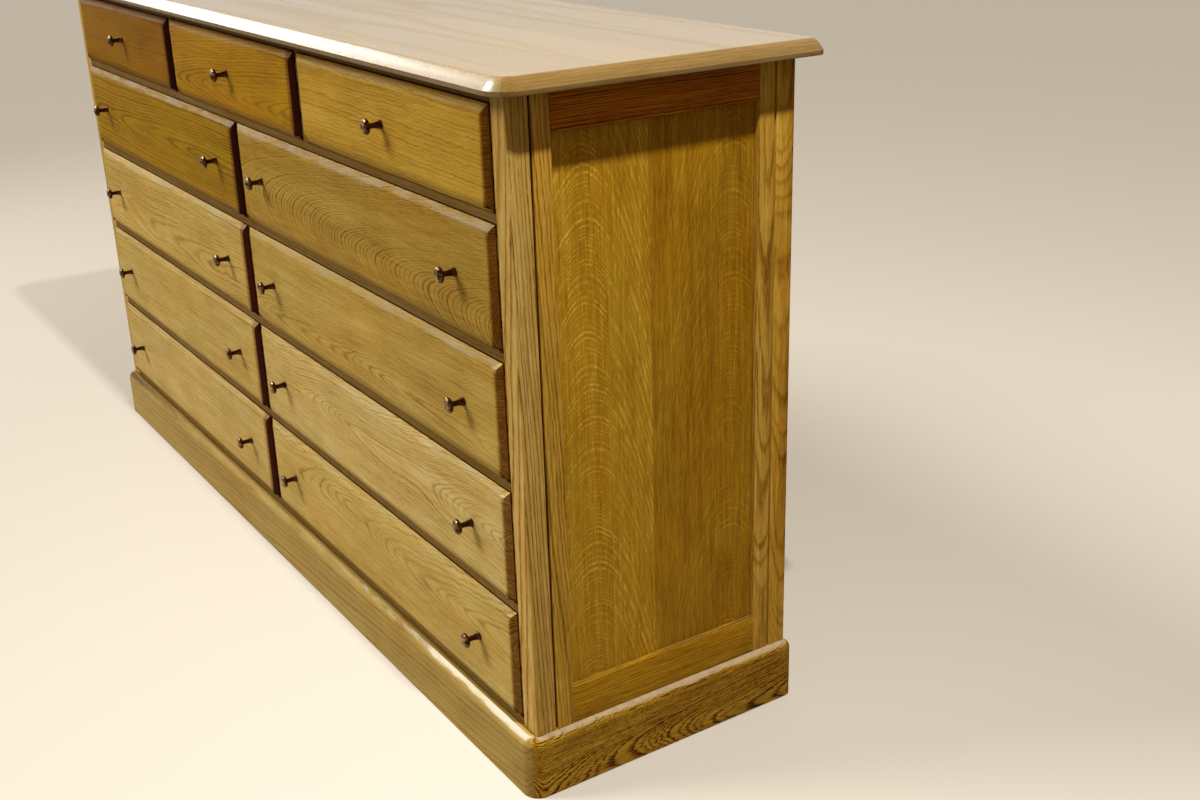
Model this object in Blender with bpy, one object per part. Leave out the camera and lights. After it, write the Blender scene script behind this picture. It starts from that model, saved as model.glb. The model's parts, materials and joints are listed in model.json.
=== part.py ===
"""Oak chest of drawers: three drawers in the top row and four rows of two wide ones.

Metres, +Z up, +Y to the back, +X to the viewer's right. The origin lies on the floor under the
middle of the whole chest. Every drawer slides out towards -Y on the frame below it. Its front is
dovetailed to its sides, lies inside the frame of posts, rails and dividers, and stands a little
proud of it with a bevelled edge. The sides of the chest are framed panels.
"""
import math

import bmesh
import bpy

# Clearances: between pieces that touch, past what is cut, and round a drawer front
TOUCH = 0.0003
OVERRUN = 0.01
FRONT_GAP = 0.00125

# Carcass
CARCASS_WIDTH = 1.822
CARCASS_DEPTH = 0.436
POST_WIDTH = 0.035
POST_DEPTH = 0.030
POST_ROUNDING = 0.003
RAIL_THICKNESS = 0.012
TOP_FRAME_THICKNESS = 0.0135
BOTTOM_FRAME_THICKNESS = 0.012
DIVIDER_THICKNESS = 0.0098
FRONT_RAIL_DEPTH = 0.060
BACK_RAIL_DEPTH = 0.040
RUNNER_WIDTH = 0.045
MIDDLE_RUNNER_WIDTH = 0.080
GUIDE_HEIGHT = 0.018
STOP_WIDTH = 0.060
STOP_DEPTH = 0.018
STOP_HEIGHT = 0.005
WIDE_ROWS = 4
TOP_ROW_DRAWERS = 3

# Framed sides
SIDE_FRAME_THICKNESS = 0.020
STILE_WIDTH = 0.0295
SIDE_TOP_RAIL = 0.052
SIDE_BOTTOM_RAIL = 0.058
QUIRK_WIDTH = 0.0032
QUIRK_DEPTH = 0.005
PANEL_RECESS = 0.009
PANEL_THICKNESS = 0.007
PANEL_GROOVE = 0.008

# Back
BACK_THICKNESS = 0.008
BACK_INSET = 0.004
BACK_REBATE = 0.012
BACK_BOARDS = 14
BACK_GROOVE_WIDTH = 0.003
BACK_GROOVE_DEPTH = 0.0015

# Top board
TOP_THICKNESS = 0.0215
TOP_OVERHANG = 0.025
TOP_BACK_OVERHANG = 0.034
TOP_CORNER_RADIUS = 0.038
TOP_BACK_CORNER_RADIUS = 0.016
TOP_MOULDING_WIDTH = 0.013
TOP_MOULDING_HEIGHT = 0.0155
TOP_MOULDING_SWELL = 0.0016

# Plinth
PLINTH_HEIGHT = 0.094
PLINTH_FRONT_REACH = 0.018
PLINTH_SIDE_REACH = 0.010
PLINTH_BACK_REACH = 0.010
PLINTH_CORNER_RADIUS = 0.025
PLINTH_BACK_CORNER_RADIUS = 0.012
PLINTH_BOARD = 0.022
PLINTH_MOULDING_WIDTH = 0.010
PLINTH_MOULDING_HEIGHT = 0.0125
PLINTH_MOULDING_SWELL = 0.0024
LEDGER_THICKNESS = 0.020
LEDGER_WIDTH = 0.060

# Drawers
WIDE_FRONT_HEIGHT = 0.16325
TOP_ROW_FRONT_HEIGHT = 0.131
FRONT_THICKNESS = 0.020
FRONT_PROUD = 0.0078
FRONT_BEVEL_WIDTH = 0.0123
FRONT_BEVEL_DEPTH = 0.0062
BOX_WALL = 0.012
BOX_BACK_GAP = 0.0168
BOX_HEADROOM = 0.012
BOTTOM_RISE = 0.008
BOTTOM_THICKNESS = 0.006
BOTTOM_TONGUE = 0.006
WIDE_ROW_TAILS = 4
TOP_ROW_TAILS = 3
TAIL_LENGTH = 0.012
TAIL_BASE_SHARE = 0.60
TAIL_SLOPE_SHARE = 1 / 6

# Knobs: the outline gives shares of the radius and of the reach in front of the drawer's face
KNOB_INSET = 0.103
KNOB_RISE = 0.001
KNOB_RADIUS = 0.011
KNOB_REACH = 0.0277
KNOB_OUTLINE_SHARES = ((0.58, 0.0), (0.53, 0.07), (0.41, 0.24), (0.36, 0.44), (0.46, 0.61),
                       (0.93, 0.73), (1.0, 0.81), (0.80, 0.93), (0.36, 1.0))
KNOB_SEGMENTS = 12
STUD_RADIUS = 0.0025
STUD_LENGTH = 0.013
STUD_SIDES = 8

# Curves are made of so many straight steps
EDGE_STEPS = 4
CORNER_STEPS = 6

# Heights and openings that follow from these
WIDE_OPENING_HEIGHT = WIDE_FRONT_HEIGHT + 2 * FRONT_GAP
TOP_ROW_OPENING_HEIGHT = TOP_ROW_FRONT_HEIGHT + 2 * FRONT_GAP
ROW_PITCH = WIDE_OPENING_HEIGHT + RAIL_THICKNESS
CARCASS_HEIGHT = (BOTTOM_FRAME_THICKNESS + WIDE_ROWS * ROW_PITCH + TOP_ROW_OPENING_HEIGHT
                  + TOP_FRAME_THICKNESS)
CARCASS_TOP = PLINTH_HEIGHT + CARCASS_HEIGHT
HALF_WIDTH = CARCASS_WIDTH / 2
OPEN_WIDTH = CARCASS_WIDTH - 2 * POST_WIDTH
WIDE_OPENING_WIDTH = (OPEN_WIDTH - DIVIDER_THICKNESS) / 2
TOP_ROW_OPENING_WIDTH = (OPEN_WIDTH - (TOP_ROW_DRAWERS - 1) * DIVIDER_THICKNESS) / TOP_ROW_DRAWERS

# The whole chest reaches from the knobs to the top board's back edge; its middle is y = 0
FRONT_Y = -(CARCASS_DEPTH + TOP_BACK_OVERHANG - FRONT_PROUD - KNOB_REACH) / 2
BACK_Y = FRONT_Y + CARCASS_DEPTH
BACK_PANEL_Y = BACK_Y - BACK_INSET - BACK_THICKNESS
FRAME_BACK_Y = BACK_PANEL_Y - TOUCH
CROSSING_Y = (FRONT_Y + FRAME_BACK_Y) / 2
FRONT_BACK_FACE = FRONT_THICKNESS - FRONT_PROUD
BOX_BACK_Y = BACK_PANEL_Y - BOX_BACK_GAP

OAK = (0.40, 0.24, 0.085)
PALE_OAK = (0.47, 0.31, 0.13)
DARK_OAK = (0.31, 0.18, 0.065)
DRAWER_WOOD = (0.55, 0.40, 0.22)
BRONZE = (0.075, 0.062, 0.048)


def material(name, colour, roughness=0.42, metallic=0.0):
    """A plain surface of one colour for the piece of this name."""
    made = bpy.data.materials.new(name)
    made.use_nodes = True
    shader = made.node_tree.nodes["Principled BSDF"]
    shader.inputs["Base Color"].default_value = (*colour, 1.0)
    shader.inputs["Roughness"].default_value = roughness
    shader.inputs["Metallic"].default_value = metallic
    return made


def box(low, high):
    """A block between two opposite corners, as two rings of points."""
    ring = ((low[0], low[1]), (high[0], low[1]), (high[0], high[1]), (low[0], high[1]))
    return prism(ring, "Z", low[2], high[2])


def prism(outline, axis, start, stop):
    """A flat outline drawn out along one axis, as two rings of points."""
    place = {"X": lambda a, b, t: (t, a, b), "Y": lambda a, b, t: (a, t, b),
             "Z": lambda a, b, t: (a, b, t)}[axis]
    return [[place(a, b, t) for a, b in outline] for t in (start, stop)]


def mesh_of(name, lofts):
    """One mesh of closed bodies, each skinned over its own rings of points."""
    built = bmesh.new()
    for rings in lofts:
        loops = [[built.verts.new(point) for point in ring] for ring in rings]
        for lower, upper in zip(loops, loops[1:]):
            for i in range(len(lower)):
                j = (i + 1) % len(lower)
                built.faces.new((lower[i], lower[j], upper[j], upper[i]))
        built.faces.new(reversed(loops[0]))
        built.faces.new(loops[-1])
    bmesh.ops.recalc_face_normals(built, faces=built.faces)
    made = bpy.data.meshes.new(name)
    built.to_mesh(made)
    built.free()
    return made


def piece(name, mesh, colour, parent=None, location=(0, 0, 0), roughness=0.42, metallic=0.0):
    """A named object with its own material, placed under its parent."""
    made = bpy.data.objects.new(name, mesh)
    bpy.context.collection.objects.link(made)
    if not mesh.materials:
        mesh.materials.append(None)
    made.material_slots[0].link = "OBJECT"
    made.material_slots[0].material = material(name, colour, roughness, metallic)
    made.parent = parent
    made.location = location
    return made


def combine(target, name, lofts, operation):
    """Cuts the bodies out of the target, or joins them to it, with a Boolean modifier."""
    tool = bpy.data.objects.new(name, mesh_of(name, lofts))
    bpy.context.collection.objects.link(tool)
    tool.display_type = "WIRE"
    tool.hide_render = True
    tool.hide_viewport = True
    change = target.modifiers.new(name, "BOOLEAN")
    change.operation = operation
    change.solver = "EXACT"
    change.object = tool
    return tool


def cut(target, name, lofts):
    """Takes the bodies away from the target."""
    return combine(target, name + "_cutter", lofts, "DIFFERENCE")


def join(target, name, lofts):
    """Adds the bodies to the target."""
    return combine(target, name + "_addition", lofts, "UNION")


def finished_mesh(name, lofts, cuts):
    """The mesh of a repeated piece after its cuts, for its copies to share."""
    blank = bpy.data.objects.new(name, mesh_of(name, lofts))
    bpy.context.collection.objects.link(blank)
    tools = [cut(blank, f"{name}_{part}", bodies) for part, bodies in cuts.items()]
    bpy.context.view_layer.update()
    evaluated = blank.evaluated_get(bpy.context.evaluated_depsgraph_get())
    made = bpy.data.meshes.new_from_object(evaluated)
    made.name = name
    for used in [blank, *tools]:
        bpy.data.objects.remove(used)
    return made


def corner_outline(low, high, radii):
    """A rectangle's outline, anticlockwise from its low corner, with a radius at each corner.

    A corner of radius zero is one point; a rounded one is a quarter circle in CORNER_STEPS steps.
    """
    corners = ((low[0], low[1], 1, 1), (high[0], low[1], -1, 1),
               (high[0], high[1], -1, -1), (low[0], high[1], 1, -1))
    outline = []
    for turn, ((x, y, inward_x, inward_y), radius) in enumerate(zip(corners, radii)):
        steps = CORNER_STEPS if radius else 0
        for step in range(steps + 1):
            angle = math.radians(180 + 90 * turn + 90 * step / max(steps, 1))
            outline.append((x + inward_x * radius + radius * math.cos(angle),
                            y + inward_y * radius + radius * math.sin(angle)))
    return outline


def swelled_steps(width, height, swell):
    """Insets and heights along a sloping edge that swells outwards in its middle."""
    slope = math.hypot(width, height)
    for step in range(EDGE_STEPS + 1):
        share = step / EDGE_STEPS
        bulge = swell * math.sin(math.pi * share)
        yield share * width - bulge * height / slope, share * height + bulge * width / slope


def row_bottom(row):
    """The height of the face that the drawers of a row rest on; row 1 is the top one."""
    return PLINTH_HEIGHT + BOTTOM_FRAME_THICKNESS + (WIDE_ROWS + 1 - row) * ROW_PITCH


def divider_places():
    """The middles of the two dividers of the top row."""
    pitch = TOP_ROW_OPENING_WIDTH + DIVIDER_THICKNESS
    first = -OPEN_WIDTH / 2 + TOP_ROW_OPENING_WIDTH + DIVIDER_THICKNESS / 2
    return [first + i * pitch for i in range(TOP_ROW_DRAWERS - 1)]


def make_top_board():
    """The top board: a square lower edge under a swelled moulding, with rounded corners."""
    square_edge = TOP_THICKNESS - TOP_MOULDING_HEIGHT
    levels = [(0, 0)] + [(inset, square_edge + height) for inset, height in
                         swelled_steps(TOP_MOULDING_WIDTH, TOP_MOULDING_HEIGHT, TOP_MOULDING_SWELL)]
    rings = []
    for inset, height in levels:
        half_x = HALF_WIDTH + TOP_OVERHANG - inset
        front, back = TOP_CORNER_RADIUS - inset, TOP_BACK_CORNER_RADIUS - inset
        outline = corner_outline((-half_x, FRONT_Y - TOP_OVERHANG + inset),
                                 (half_x, BACK_Y + TOP_BACK_OVERHANG - inset),
                                 (front, front, back, back))
        rings.append([(x, y, CARCASS_TOP + height) for x, y in outline])
    made = piece("top_board", mesh_of("top_board", [rings]), PALE_OAK, roughness=0.35)
    made.data.shade_smooth()
    made.data.set_sharp_from_angle(angle=math.radians(30))


def make_plinth():
    """The plinth ring with its moulded upper edge, and the ledger frame inside it."""
    levels = [(0, 0)] + [(inset, PLINTH_HEIGHT - PLINTH_MOULDING_HEIGHT + height) for inset, height in
                         swelled_steps(PLINTH_MOULDING_WIDTH, PLINTH_MOULDING_HEIGHT,
                                       PLINTH_MOULDING_SWELL)]
    rings = []
    for inset, height in levels:
        half_x = HALF_WIDTH + PLINTH_SIDE_REACH - inset
        front, back = PLINTH_CORNER_RADIUS - inset, PLINTH_BACK_CORNER_RADIUS - inset
        outline = corner_outline((-half_x, FRONT_Y - PLINTH_FRONT_REACH + inset),
                                 (half_x, BACK_Y + PLINTH_BACK_REACH - inset),
                                 (front, front, back, back))
        rings.append([(x, y, height) for x, y in outline])
    plinth = piece("plinth", mesh_of("plinth", [rings]), OAK)
    inner_x = HALF_WIDTH + PLINTH_SIDE_REACH - PLINTH_BOARD
    inner_front = FRONT_Y - PLINTH_FRONT_REACH + PLINTH_BOARD
    inner_back = BACK_Y + PLINTH_BACK_REACH - PLINTH_BOARD
    cut(plinth, "plinth_inside", [box((-inner_x, inner_front, -OVERRUN),
                                      (inner_x, inner_back, PLINTH_HEIGHT + OVERRUN))])
    plinth.data.shade_smooth()
    plinth.data.set_sharp_from_angle(angle=math.radians(30))
    ledger_low = (-inner_x + TOUCH, inner_front + TOUCH, PLINTH_HEIGHT - LEDGER_THICKNESS)
    ledger_high = (inner_x - TOUCH, inner_back - TOUCH, PLINTH_HEIGHT)
    ledger = piece("plinth_ledger", mesh_of("plinth_ledger", [box(ledger_low, ledger_high)]), DARK_OAK)
    cut(ledger, "ledger_middle", [box((ledger_low[0] + LEDGER_WIDTH, ledger_low[1] + LEDGER_WIDTH,
                                       ledger_low[2] - OVERRUN),
                                      (ledger_high[0] - LEDGER_WIDTH, ledger_high[1] - LEDGER_WIDTH,
                                       ledger_high[2] + OVERRUN))])


def mirrored(outline, side):
    """The outline for the right side (side 1), or its mirror image for the left (side -1)."""
    return [(side * x, y) for x, y in outline]


def make_posts():
    """Four posts; each front one has a rounded outer arris, each back one a rebate for the back."""
    low, high = PLINTH_HEIGHT + TOUCH, CARCASS_TOP - TOUCH
    inner_x = HALF_WIDTH - POST_WIDTH
    front = corner_outline((inner_x, FRONT_Y), (HALF_WIDTH, FRONT_Y + POST_DEPTH),
                           (0, POST_ROUNDING, 0, 0))
    rebate_y = BACK_PANEL_Y - TOUCH
    back = [(inner_x, BACK_Y - POST_DEPTH), (HALF_WIDTH, BACK_Y - POST_DEPTH), (HALF_WIDTH, BACK_Y),
            (inner_x + BACK_REBATE, BACK_Y), (inner_x + BACK_REBATE, rebate_y), (inner_x, rebate_y)]
    for side, word in ((-1, "left"), (1, "right")):
        for place, outline in (("front", front), ("back", back)):
            name = f"{place}_{word}_post"
            piece(name, mesh_of(name, [prism(mirrored(outline, side), "Z", low, high)]), OAK)


def make_side(side, word):
    """One framed side: the frame with its quirks and panel groove, and the panel in the groove."""
    front, back = FRONT_Y + POST_DEPTH + TOUCH, BACK_Y - POST_DEPTH - TOUCH
    low, high = PLINTH_HEIGHT + TOUCH, CARCASS_TOP - TOUCH
    window_y = (front + STILE_WIDTH, back - STILE_WIDTH)
    window_z = (PLINTH_HEIGHT + SIDE_BOTTOM_RAIL, CARCASS_TOP - SIDE_TOP_RAIL)

    def block(depth_from, depth_to, y, z):
        """A block between two depths inward from the side's outer face."""
        a, b = side * (HALF_WIDTH - depth_from), side * (HALF_WIDTH - depth_to)
        return box((min(a, b), y[0], z[0]), (max(a, b), y[1], z[1]))

    def widened(span, by):
        """A span made longer at both ends."""
        return span[0] - by, span[1] + by

    name = f"{word}_side_frame"
    frame = piece(name, mesh_of(name, [block(0, SIDE_FRAME_THICKNESS, (front, back), (low, high))]), OAK)
    cut(frame, name + "_window", [block(-OVERRUN, SIDE_FRAME_THICKNESS + OVERRUN, window_y, window_z)])
    groove = (PANEL_RECESS - TOUCH, PANEL_RECESS + PANEL_THICKNESS + TOUCH)
    cut(frame, name + "_groove", [block(*groove, widened(window_y, PANEL_GROOVE + TOUCH),
                                        widened(window_z, PANEL_GROOVE + TOUCH))])
    tall = widened((low, high), OVERRUN)
    edges = ((front - OVERRUN, front + QUIRK_WIDTH), (back - QUIRK_WIDTH, back + OVERRUN))
    cut(frame, name + "_quirks", [block(-OVERRUN, QUIRK_DEPTH, edge, tall) for edge in edges])
    name = f"{word}_side_panel"
    panel = block(PANEL_RECESS, PANEL_RECESS + PANEL_THICKNESS, widened(window_y, PANEL_GROOVE),
                  widened(window_z, PANEL_GROOVE))
    piece(name, mesh_of(name, [panel]), DARK_OAK)


def make_back():
    """The back of upright boards between the back posts, with a vee groove at each joint."""
    half_x = HALF_WIDTH - POST_WIDTH + BACK_REBATE - TOUCH
    back = BACK_PANEL_Y + BACK_THICKNESS
    low, high = PLINTH_HEIGHT + TOUCH, CARCASS_TOP - TOUCH
    panel = piece("back_panel", mesh_of("back_panel", [box((-half_x, BACK_PANEL_Y, low),
                                                           (half_x, back, high))]), DARK_OAK)
    pitch = 2 * half_x / BACK_BOARDS
    grooves = []
    for joint in range(1, BACK_BOARDS):
        x = -half_x + joint * pitch
        vee = [(x, back - BACK_GROOVE_DEPTH), (x + BACK_GROOVE_WIDTH, back + BACK_GROOVE_DEPTH),
               (x - BACK_GROOVE_WIDTH, back + BACK_GROOVE_DEPTH)]
        grooves.append(prism(vee, "Z", low - OVERRUN, high + OVERRUN))
    cut(panel, "back_joints", grooves)


def frame_outline():
    """The plan of a frame that fills the chest, notched round the four posts."""
    wide, narrow = HALF_WIDTH - SIDE_FRAME_THICKNESS - TOUCH, HALF_WIDTH - POST_WIDTH - TOUCH
    front, back = FRONT_Y + POST_DEPTH + TOUCH, BACK_Y - POST_DEPTH - TOUCH
    right = [(narrow, FRONT_Y), (narrow, front), (wide, front), (wide, back), (narrow, back),
             (narrow, FRAME_BACK_Y)]
    return right + [(-x, y) for x, y in reversed(right)]


def frame_windows(middles, low, high):
    """The open fields of a frame between its end runners and the runners at these middles."""
    end = HALF_WIDTH - SIDE_FRAME_THICKNESS - RUNNER_WIDTH
    edges = [-end]
    for middle in middles:
        edges += [middle - MIDDLE_RUNNER_WIDTH / 2, middle + MIDDLE_RUNNER_WIDTH / 2]
    edges.append(end)
    front, back = FRONT_Y + FRONT_RAIL_DEPTH, FRAME_BACK_Y - BACK_RAIL_DEPTH
    return [box((a, front, low - OVERRUN), (b, back, high + OVERRUN))
            for a, b in zip(edges[::2], edges[1::2])]


def drawer_middles(row):
    """The places along X of the drawers in a row, with their words."""
    if row == 1:
        pitch = TOP_ROW_OPENING_WIDTH + DIVIDER_THICKNESS
        return [("left", -pitch), ("middle", 0), ("right", pitch)]
    pitch = WIDE_OPENING_WIDTH + DIVIDER_THICKNESS
    return [("left", -pitch / 2), ("right", pitch / 2)]


def make_row_frame(name, low, high, middles, row, crossed):
    """A frame that carries the drawers of a row, with a guide at each end and a stop each.

    A crossed frame has a slot from the back, in which the centre partition sits.
    """
    frame = piece(name, mesh_of(name, [prism(frame_outline(), "Z", low, high)]), OAK)
    cut(frame, name + "_windows", frame_windows(middles, low, high))
    root = (low + high) / 2
    inner, outer = HALF_WIDTH - POST_WIDTH, HALF_WIDTH - SIDE_FRAME_THICKNESS - 2 * TOUCH
    guide_y = (FRONT_Y + POST_DEPTH + 2 * TOUCH, BACK_Y - POST_DEPTH - 2 * TOUCH)
    raised = [box((inner, guide_y[0], root), (outer, guide_y[1], high + GUIDE_HEIGHT)),
              box((-outer, guide_y[0], root), (-inner, guide_y[1], high + GUIDE_HEIGHT))]
    stop_y = FRONT_Y + FRONT_BACK_FACE + TOUCH
    for _, x in drawer_middles(row):
        raised.append(box((x - STOP_WIDTH / 2, stop_y, root),
                          (x + STOP_WIDTH / 2, stop_y + STOP_DEPTH, high + STOP_HEIGHT)))
    join(frame, name + "_guides", raised)
    if crossed:
        half = DIVIDER_THICKNESS / 2 + TOUCH
        cut(frame, name + "_crossing", [box((-half, CROSSING_Y, low - OVERRUN),
                                            (half, FRAME_BACK_Y + OVERRUN, high + GUIDE_HEIGHT))])


def make_frames():
    """The bottom frame, the four frames between the rows, and the top frame with its dividers."""
    bottom = PLINTH_HEIGHT + TOUCH
    make_row_frame("bottom_frame", bottom, PLINTH_HEIGHT + BOTTOM_FRAME_THICKNESS, [0],
                   WIDE_ROWS + 1, False)
    for row in range(1, WIDE_ROWS + 1):
        high = row_bottom(row)
        middles = divider_places() if row == 1 else [0]
        make_row_frame(f"row_frame_{row}", high - RAIL_THICKNESS, high, middles, row, row > 1)
    low, high = CARCASS_TOP - TOP_FRAME_THICKNESS, CARCASS_TOP - TOUCH
    top = piece("top_frame", mesh_of("top_frame", [prism(frame_outline(), "Z", low, high)]), OAK)
    cut(top, "top_frame_windows", frame_windows(divider_places(), low, high))
    half = DIVIDER_THICKNESS / 2
    join(top, "top_frame_dividers", [box((x - half, FRONT_Y + TOUCH, row_bottom(1) + TOUCH),
                                         (x + half, FRAME_BACK_Y - TOUCH, (low + high) / 2))
                                     for x in divider_places()])


def make_partition():
    """The centre partition, slotted from the front where the row frames cross it."""
    half = DIVIDER_THICKNESS / 2
    low = PLINTH_HEIGHT + BOTTOM_FRAME_THICKNESS + TOUCH
    high = row_bottom(1) - RAIL_THICKNESS - TOUCH
    board = box((-half, FRONT_Y, low), (half, FRAME_BACK_Y, high))
    partition = piece("centre_partition", mesh_of("centre_partition", [board]), OAK)
    slots = [box((-half - OVERRUN, FRONT_Y - OVERRUN, row_bottom(row) - RAIL_THICKNESS - TOUCH),
                 (half + OVERRUN, CROSSING_Y + TOUCH, row_bottom(row) + TOUCH))
             for row in range(2, WIDE_ROWS + 1)]
    cut(partition, "partition_slots", slots)


def tail_middles(low, high, count):
    """The middles of the dovetails along a drawer side, and half the width of their roots."""
    pitch = (high - low) / count
    return [low + (i + 1 / 2) * pitch for i in range(count)], pitch * TAIL_BASE_SHARE / 2


def drawer_levels(opening_height):
    """The lower and upper edges of a drawer's sides, seen from its opening's middle."""
    return -opening_height / 2 + TOUCH, opening_height / 2 - BOX_HEADROOM


def front_mesh(name, width, height, opening_height, knobs, tails):
    """A drawer front with a bevelled edge, dovetail sockets, bottom groove and stud holes."""
    def ring(inset, y):
        a, b = width / 2 - inset, height / 2 - inset
        return [(-a, y, -b), (a, y, -b), (a, y, b), (-a, y, b)]

    rings = [ring(0, FRONT_BACK_FACE), ring(0, FRONT_BEVEL_DEPTH - FRONT_PROUD),
             ring(FRONT_BEVEL_WIDTH, -FRONT_PROUD)]
    low, high = drawer_levels(opening_height)
    middles, half = tail_middles(low, high, tails)
    tip = FRONT_BACK_FACE - TAIL_LENGTH - TOUCH
    flare = (TAIL_LENGTH + TOUCH) * TAIL_SLOPE_SHARE
    inner = width / 2 - TOUCH - BOX_WALL
    sockets = []
    for z in middles:
        a, b = half + TOUCH, half + TOUCH + flare
        tail = [(FRONT_BACK_FACE + OVERRUN, z - a), (FRONT_BACK_FACE + OVERRUN, z + a),
                (FRONT_BACK_FACE, z + a), (tip, z + b), (tip, z - b), (FRONT_BACK_FACE, z - a)]
        sockets.append(prism(tail, "X", inner - TOUCH, width / 2 + OVERRUN))
        sockets.append(prism(tail, "X", -width / 2 - OVERRUN, -inner + TOUCH))
    floor = low + BOTTOM_RISE
    groove = [box((-inner - TOUCH, FRONT_BACK_FACE - BOTTOM_TONGUE - TOUCH, floor - TOUCH),
                  (inner + TOUCH, FRONT_BACK_FACE + OVERRUN, floor + BOTTOM_THICKNESS + TOUCH))]
    hole = STUD_RADIUS + TOUCH
    holes = [prism([(x + hole * math.cos(math.tau * i / STUD_SIDES),
                     KNOB_RISE + hole * math.sin(math.tau * i / STUD_SIDES)) for i in range(STUD_SIDES)],
                   "Y", -FRONT_PROUD - OVERRUN, -FRONT_PROUD + STUD_LENGTH + TOUCH) for x in knobs]
    made = finished_mesh(name, [rings], {"sockets": sockets, "groove": groove, "holes": holes})
    made.shade_smooth()
    made.set_sharp_from_angle(angle=math.radians(32))
    return made


def box_mesh(name, width, opening_height, tails):
    """A drawer's sides, back and bottom in one, with dovetails on the front ends of the sides."""
    low, high = drawer_levels(opening_height)
    outer = width / 2 - TOUCH
    inner = outer - BOX_WALL
    tip, shoulder = FRONT_BACK_FACE - TAIL_LENGTH, FRONT_BACK_FACE + TOUCH
    back = BOX_BACK_Y - FRONT_Y
    floor = low + BOTTOM_RISE
    inside = [box((-inner, tip - OVERRUN, floor + BOTTOM_THICKNESS),
                  (inner, back - BOX_WALL, high + OVERRUN)),
              box((-inner, tip - OVERRUN, low - OVERRUN), (inner, back + OVERRUN, floor))]
    mouth = [box((-inner, tip - OVERRUN, low - OVERRUN),
                 (inner, FRONT_BACK_FACE - BOTTOM_TONGUE, high + OVERRUN))]
    middles, half = tail_middles(low, high, tails)
    reach = shoulder - tip + OVERRUN
    flare = reach * TAIL_SLOPE_SHARE
    far = tip - OVERRUN
    edges = [low - OVERRUN] + [z + sign * half for z in middles for sign in (-1, 1)] + [high + OVERRUN]
    pins = []
    for a, b in zip(edges[::2], edges[1::2]):
        lower_flare = 0 if a < low else flare
        upper_flare = 0 if b > high else flare
        gap = [(shoulder, a), (shoulder, b), (far, b - upper_flare), (far, a + lower_flare)]
        pins.append(prism(gap, "X", inner - OVERRUN / 2, outer + OVERRUN))
        pins.append(prism(gap, "X", -outer - OVERRUN, -inner + OVERRUN / 2))
    return finished_mesh(name, [box((-outer, tip, low), (outer, back, high))],
                         {"inside": inside, "mouth": mouth, "pins": pins})


def knob_mesh():
    """A turned knob on its stud; its axis is Y and the drawer's face is at y = 0."""
    def ring(radius, y):
        return [(radius * math.cos(math.tau * i / KNOB_SEGMENTS), y,
                 radius * math.sin(math.tau * i / KNOB_SEGMENTS)) for i in range(KNOB_SEGMENTS)]

    rings = [ring(STUD_RADIUS, STUD_LENGTH), ring(STUD_RADIUS, -TOUCH)]
    rings += [ring(KNOB_RADIUS * wide, -TOUCH - (KNOB_REACH - TOUCH) * far)
              for wide, far in KNOB_OUTLINE_SHARES]
    made = mesh_of("knob", [rings])
    made.shade_smooth()
    made.set_sharp_from_angle(angle=math.radians(50))
    return made


def make_drawers():
    """Every drawer under an empty at the middle of its opening, on its line of travel."""
    kinds = {
        "top": (TOP_ROW_OPENING_WIDTH, TOP_ROW_OPENING_HEIGHT, (0,), TOP_ROW_TAILS),
        "wide": (WIDE_OPENING_WIDTH, WIDE_OPENING_HEIGHT,
                 (-WIDE_OPENING_WIDTH / 2 + KNOB_INSET, WIDE_OPENING_WIDTH / 2 - KNOB_INSET),
                 WIDE_ROW_TAILS)}
    meshes = {}
    for kind, (opening_width, opening_height, knobs, tails) in kinds.items():
        width, height = opening_width - 2 * FRONT_GAP, opening_height - 2 * FRONT_GAP
        meshes[kind] = (front_mesh(kind + "_front", width, height, opening_height, knobs, tails),
                        box_mesh(kind + "_box", width, opening_height, tails))
    knob = knob_mesh()
    for row in range(1, WIDE_ROWS + 2):
        kind = "top" if row == 1 else "wide"
        _, opening_height, knobs, _ = kinds[kind]
        for word, x in drawer_middles(row):
            drawer = f"row_{row}_{word}_drawer"
            slide = bpy.data.objects.new(drawer + "_slide", None)
            bpy.context.collection.objects.link(slide)
            slide.location = (x, FRONT_Y, row_bottom(row) + opening_height / 2)
            piece(drawer + "_front", meshes[kind][0], OAK, slide)
            piece(drawer + "_box", meshes[kind][1], DRAWER_WOOD, slide, roughness=0.55)
            ends = ("",) if len(knobs) == 1 else ("_left", "_right")
            for end, place in zip(ends, knobs):
                piece(f"{drawer}{end}_knob", knob, BRONZE, slide, (place, -FRONT_PROUD, KNOB_RISE),
                      0.38, 0.9)


for old in list(bpy.data.objects):
    bpy.data.objects.remove(old)
make_top_board()
make_plinth()
make_posts()
make_side(-1, "left")
make_side(1, "right")
make_back()
make_frames()
make_partition()
make_drawers()
bpy.context.view_layer.update()
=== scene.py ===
import json
import math

import bmesh
import bpy
import numpy as np
from mathutils import Matrix

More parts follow.
